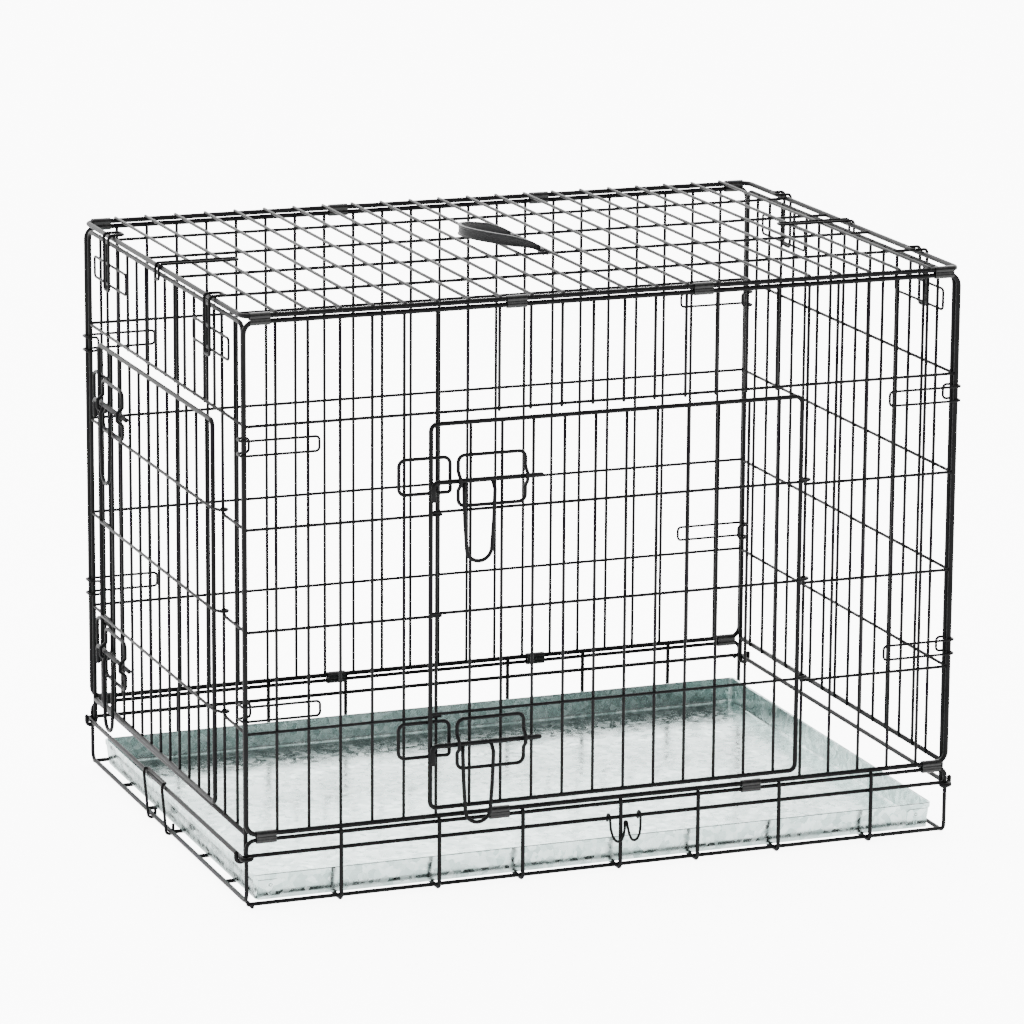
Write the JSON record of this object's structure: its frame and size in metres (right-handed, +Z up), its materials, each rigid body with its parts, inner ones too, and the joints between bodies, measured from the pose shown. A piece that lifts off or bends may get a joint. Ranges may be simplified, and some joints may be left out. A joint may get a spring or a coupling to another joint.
{
  "type": "wire dog crate",
  "caption": "Folding wire dog crate with a front and an end door on slide bolts, hinged end walls, a sliding steel floor pan and a strap handle.",
  "frame": {"origin": "middle of the underside, on the floor", "axes": "+Z up, the front door faces -Y, the end door faces -X"},
  "size_m": [0.8024, 0.5692, 0.6317],
  "materials": {
    "black_wire": "satin black electrocoat on steel wire",
    "black_sheet": "satin black coating on folded sheet steel",
    "galvanised_steel": "bright galvanised sheet with a fine spangle",
    "black_plastic": "moulded, fine matt"
  },
  "bodies": {
    "root": {"back_panel": "black_wire", "base_cage": "black_wire", "clip_back_lower_1": "black_sheet", "clip_back_lower_2": "black_sheet", "clip_back_lower_3": "black_sheet", "clip_back_lower_4": "black_sheet", "clip_back_upper_1": "black_sheet", "clip_back_upper_2": "black_sheet", "clip_back_upper_3": "black_sheet", "clip_back_upper_4": "black_sheet", "clip_front_lower_1": "black_sheet", "clip_front_lower_2": "black_sheet", "clip_front_lower_3": "black_sheet", "clip_front_lower_4": "black_sheet", "clip_front_upper_1": "black_sheet", "clip_front_upper_2": "black_sheet", "clip_front_upper_3": "black_sheet", "clip_front_upper_4": "black_sheet", "front_keeper_lower": "black_wire", "front_keeper_upper": "black_wire", "front_panel": "black_wire", "hook_back_left_lower": "black_wire", "hook_back_left_upper": "black_wire", "hook_back_right_lower": "black_wire", "hook_back_right_upper": "black_wire", "hook_front_left_lower": "black_wire", "hook_front_left_upper": "black_wire", "hook_front_right_lower": "black_wire", "hook_front_right_upper": "black_wire", "left_hinge_rod": "black_wire", "right_hinge_rod": "black_wire", "roof_stop_left": "black_wire", "roof_stop_right": "black_wire", "top_panel": "black_wire"},
    "end_bolt_lower": {"end_bolt_lower": "black_wire"},
    "end_bolt_upper": {"end_bolt_upper": "black_wire"},
    "end_door": {"end_door": "black_wire", "end_guide_lower": "black_wire", "end_guide_upper": "black_wire"},
    "front_bolt_lower": {"front_bolt_lower": "black_wire"},
    "front_bolt_upper": {"front_bolt_upper": "black_wire"},
    "front_door": {"front_door": "black_wire", "front_guide_lower": "black_wire", "front_guide_upper": "black_wire"},
    "handle": {"handle_strap": "black_plastic"},
    "left_end": {"end_keeper_lower": "black_wire", "end_keeper_upper": "black_wire", "left_end_panel": "black_wire", "left_latch_loop_a": "black_wire", "left_latch_loop_b": "black_wire"},
    "left_hairpin_a": {"left_hairpin_a": "black_wire"},
    "left_hairpin_b": {"left_hairpin_b": "black_wire"},
    "lock_hook": {"lock_hook": "black_wire"},
    "pan": {"pan": "galvanised_steel"},
    "pan_stop": {"pan_stop": "black_wire"},
    "right_end": {"right_end_panel": "black_wire", "right_latch_loop_a": "black_wire", "right_latch_loop_b": "black_wire"},
    "right_hairpin_a": {"right_hairpin_a": "black_wire"},
    "right_hairpin_b": {"right_hairpin_b": "black_wire"}
  },
  "joints": [
    {"name": "left_end_fold", "type": "hinge", "parent": "root", "child": "left_end", "pos_m": [-0.38749, 0.00667, 0.054], "axis": [0, 1, 0], "range_deg": [0, 90]},
    {"name": "right_end_fold", "type": "hinge", "parent": "root", "child": "right_end", "pos_m": [0.39451, 0.00667, 0.054], "axis": [0, -1, 0], "range_deg": [0, 84]},
    {"name": "front_door_swing", "type": "hinge", "parent": "root", "child": "front_door", "pos_m": [0.22253, -0.26583, 0], "axis": [0, 0, 1], "range_deg": [0, 120]},
    {"name": "end_door_swing", "type": "hinge", "parent": "left_end", "child": "end_door", "pos_m": [-0.38249, -0.19245, 0], "axis": [0, 0, -1], "range_deg": [-120, 0]},
    {"name": "front_bolt_upper_slide", "type": "slide", "parent": "front_door", "child": "front_bolt_upper", "axis": [1, 0, 0], "range_m": [0, 0.021]},
    {"name": "front_bolt_lower_slide", "type": "slide", "parent": "front_door", "child": "front_bolt_lower", "axis": [1, 0, 0], "range_m": [0, 0.021]},
    {"name": "end_bolt_upper_slide", "type": "slide", "parent": "end_door", "child": "end_bolt_upper", "axis": [0, -1, 0], "range_m": [0, 0.021]},
    {"name": "end_bolt_lower_slide", "type": "slide", "parent": "end_door", "child": "end_bolt_lower", "axis": [0, -1, 0], "range_m": [0, 0.021]},
    {"name": "left_hairpin_a_lift", "type": "slide", "parent": "root", "child": "left_hairpin_a", "axis": [0, 0, 1], "range_m": [0, 0.025]},
    {"name": "left_hairpin_b_lift", "type": "slide", "parent": "root", "child": "left_hairpin_b", "axis": [0, 0, 1], "range_m": [0, 0.025]},
    {"name": "right_hairpin_a_lift", "type": "slide", "parent": "root", "child": "right_hairpin_a", "axis": [0, 0, 1], "range_m": [0, 0.025]},
    {"name": "right_hairpin_b_lift", "type": "slide", "parent": "root", "child": "right_hairpin_b", "axis": [0, 0, 1], "range_m": [0, 0.025]},
    {"name": "pan_slide", "type": "slide", "parent": "root", "child": "pan", "axis": [1, 0, 0], "range_m": [0, 0.6]},
    {"name": "pan_stop_swing", "type": "hinge", "parent": "root", "child": "pan_stop", "pos_m": [-0.38399, 0.02667, 0.008], "axis": [0, -1, 0], "range_deg": [0, 80]},
    {"name": "lock_hook_swing", "type": "hinge", "parent": "root", "child": "lock_hook", "pos_m": [0.02501, -0.26583, 0.056], "axis": [-1, 0, 0], "range_deg": [0, 100]},
    {"name": "handle_swing", "type": "hinge", "parent": "root", "child": "handle", "pos_m": [0.02036, 0.00667, 0.6077], "axis": [0, 1, 0], "range_deg": [0, 135]}
  ]
}
